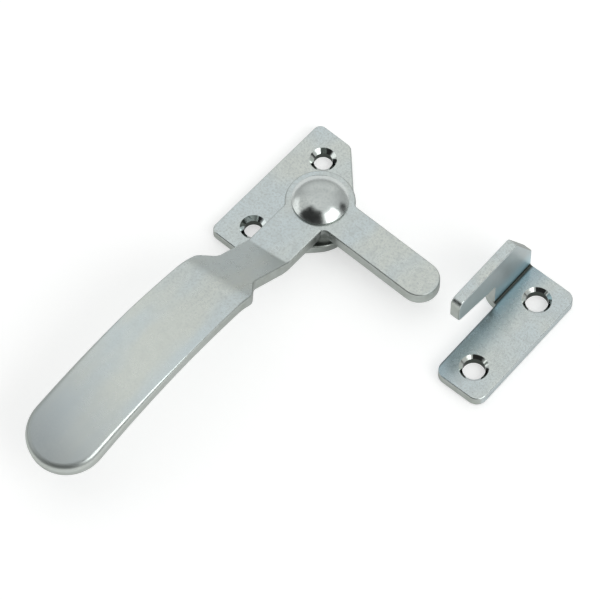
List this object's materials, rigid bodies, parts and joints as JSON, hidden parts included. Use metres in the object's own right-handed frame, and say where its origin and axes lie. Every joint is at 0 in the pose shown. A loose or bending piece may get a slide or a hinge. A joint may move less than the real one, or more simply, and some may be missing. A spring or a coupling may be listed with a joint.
{
  "type": "over centre toggle latch",
  "caption": "Zinc plated steel latch: a cranked lever with a long paddle handle turns on a riveted base plate, and its tongue hooks under a separate angled keeper.",
  "frame": {"origin": "the lever's pivot axis on the mounting face", "axes": "+Z off the mounting face, +X along the closed lever's tongue towards the keeper, -Y along the handle"},
  "size_m": [0.0852, 0.1312, 0.0243],
  "materials": {
    "pressed_steel": "bright zinc plate, satin",
    "rivet_steel": "bright zinc plate, polished"
  },
  "bodies": {
    "fixed": {"base_plate": "pressed_steel", "spacer_washer": "pressed_steel", "pivot_rivet": "rivet_steel", "keeper": "pressed_steel"},
    "lever": {"lever": "pressed_steel"}
  },
  "joints": [
    {"name": "lever_pivot", "type": "hinge", "parent": "fixed", "child": "lever", "pos_m": [0, 0, 0.0093], "axis": [0, 0, 1], "range_deg": [-180, 0]}
  ]
}
